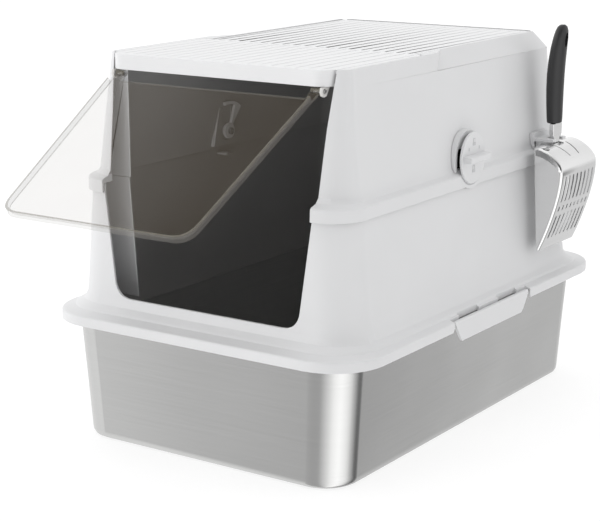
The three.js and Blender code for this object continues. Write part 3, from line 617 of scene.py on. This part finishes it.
# ---------- floor, light and camera ----------
def studio_floor():
    """A pale floor that glows a little and doesn't show in polished faces."""
    bm = bmesh.new()
    bmesh.ops.create_grid(bm, x_segments=1, y_segments=1, size=30.0)
    mesh = bpy.data.meshes.new("floor")
    bm.to_mesh(mesh)
    bm.free()
    pale = plastic("floor_pale", (0.29, 0.29, 0.29), (0.31, 0.31, 0.31), 0.9, 60.0, 0.01)
    bsdf = pale.node_tree.nodes["Principled BSDF"]
    bsdf.inputs["Emission Color"].default_value = (1.0, 1.0, 1.0, 1.0)
    bsdf.inputs["Emission Strength"].default_value = 0.76
    mesh.materials.append(pale)
    obj = bpy.data.objects.new("floor", mesh)
    obj.location.z = -0.0002
    obj.visible_glossy = False
    bpy.context.scene.collection.objects.link(obj)


def softbox(name, azimuth, elevation, distance, size, power, shows_in_gloss=True):
    """An area light that faces the middle of the box from a compass direction."""
    data = bpy.data.lights.new(name, "AREA")
    data.shape = "RECTANGLE"
    data.size, data.size_y = size
    data.energy = power
    obj = bpy.data.objects.new(name, data)
    a, e = math.radians(azimuth), math.radians(elevation)
    away = Vector((math.sin(a) * math.cos(e), -math.cos(a) * math.cos(e), math.sin(e)))
    obj.location = Vector((0.0, 0.0, 0.22)) + away * distance
    obj.rotation_mode = "QUATERNION"
    obj.rotation_quaternion = away.to_track_quat("Z", "Y")
    obj.visible_glossy = shows_in_gloss
    bpy.context.scene.collection.objects.link(obj)


SKY = (  # compass direction in degrees from the entrance towards the right, and brightness
    (-180, 0.95), (-100, 1.25), (-60, 1.6), (-15, 1.4), (8, 0.3), (22, 0.1), (62, 0.1), (80, 0.8), (105, 1.1),
    (150, 1.05), (180, 0.95))
LOW_CARDS = (  # the same, for the cards that only the polished faces see
    (-180, 0.8), (-116, 1.0), (-66, 1.05), (-46, 1.1), (-38, 0.62), (-12, 0.55), (8, 0.56), (20, 0.84),
    (37, 1.2), (48, 1.5), (70, 1.75), (92, 1.45), (103, 1.2), (110, 0.85), (121, 0.55), (130, 0.18),
    (143, 0.16), (149, 0.5), (153, 0.82), (157, 0.76), (180, 0.8))


def brightness_ramp(tree, turn, stops):
    """A colour ramp over the compass, with brightness halved so that it stays within a colour's range."""
    ramp = add_node(tree, "ShaderNodeValToRGB")
    points = ramp.color_ramp.elements
    for index, (degrees, bright) in enumerate(stops):
        place = (degrees + 180.0) / 360.0
        point = points[index] if index < 2 else points.new(place)
        point.position = place
        point.color = (bright / 2, bright / 2, bright / 2, 1.0)
    link(tree, turn, ramp.inputs["Fac"])
    return ramp.outputs["Color"]


def studio_world():
    """Soft light from all round: the sky above, the cards below and a dimmer ceiling."""
    world = bpy.data.worlds.new("studio")
    world.use_nodes = True
    tree = world.node_tree
    background = tree.nodes["Background"]
    place = add_node(tree, "ShaderNodeTexCoord")
    split = add_node(tree, "ShaderNodeSeparateXYZ")
    link(tree, place.outputs["Generated"], split.inputs[0])
    ahead = add_node(tree, "ShaderNodeMath", {1: -1.0}, operation="MULTIPLY")
    link(tree, split.outputs["Y"], ahead.inputs[0])
    angle = add_node(tree, "ShaderNodeMath", operation="ARCTAN2")
    link(tree, split.outputs["X"], angle.inputs[0])
    link(tree, ahead.outputs[0], angle.inputs[1])
    turn = add_node(tree, "ShaderNodeMapRange", {"From Min": -math.pi, "From Max": math.pi})
    link(tree, angle.outputs[0], turn.inputs["Value"])
    sky = brightness_ramp(tree, turn.outputs["Result"], SKY)
    cards = brightness_ramp(tree, turn.outputs["Result"], LOW_CARDS)
    above = add_node(tree, "ShaderNodeMapRange", {"From Min": -0.12, "From Max": 0.02})
    link(tree, split.outputs["Z"], above.inputs["Value"])
    mix = add_node(tree, "ShaderNodeMix", data_type="RGBA")
    link(tree, above.outputs["Result"], mix.inputs[0])
    link(tree, cards, mix.inputs[6])
    link(tree, sky, mix.inputs[7])
    overhead = add_node(tree, "ShaderNodeMapRange", {"From Min": 0.45, "From Max": 0.85})
    link(tree, split.outputs["Z"], overhead.inputs["Value"])
    ceiling = add_node(tree, "ShaderNodeMix", data_type="RGBA")
    ceiling.inputs[7].default_value = (0.46, 0.46, 0.46, 1.0)
    link(tree, overhead.outputs["Result"], ceiling.inputs[0])
    link(tree, mix.outputs[2], ceiling.inputs[6])
    link(tree, ceiling.outputs[2], background.inputs["Color"])
    background.inputs["Strength"].default_value = 2.0
    bpy.context.scene.world = world


def studio_camera():
    """The camera, placed by its direction and distance from a point above the middle of the pan."""
    azimuth, elevation, roll = (math.radians(CAMERA[key]) for key in ("azimuth", "elevation", "roll"))
    back = Vector((math.sin(azimuth) * math.cos(elevation), -math.cos(azimuth) * math.cos(elevation),
                   math.sin(elevation)))
    level = Vector((math.cos(azimuth), math.sin(azimuth), 0.0))
    raised = level.cross(-back)
    right = level * math.cos(roll) + raised * math.sin(roll)
    up = raised * math.cos(roll) - level * math.sin(roll)
    data = bpy.data.cameras.new("camera")
    data.sensor_width = 36.0
    data.lens = CAMERA["lens"]
    data.clip_start, data.clip_end = 0.1, 100.0
    obj = bpy.data.objects.new("camera", data)
    place = Vector((0.0, 0.0, CAMERA["aim_height"])) + back * CAMERA["distance"]
    place = place - level * CAMERA["left"] - raised * CAMERA["down"]
    obj.matrix_world = Matrix((
        (right.x, up.x, back.x, place.x),
        (right.y, up.y, back.y, place.y),
        (right.z, up.z, back.z, place.z),
        (0.0, 0.0, 0.0, 1.0)))
    bpy.context.scene.collection.objects.link(obj)
    bpy.context.scene.camera = obj


studio_floor()
studio_world()
studio_camera()
softbox("top_soft", -40.0, 80.0, 2.4, (2.2, 2.2), 4.0)
softbox("front_soft", 4.0, 10.0, 2.6, (1.2, 0.6), 3.5, shows_in_gloss=False)
bpy.context.scene.view_settings.view_transform = "Standard"
bpy.context.scene.view_settings.look = "None"
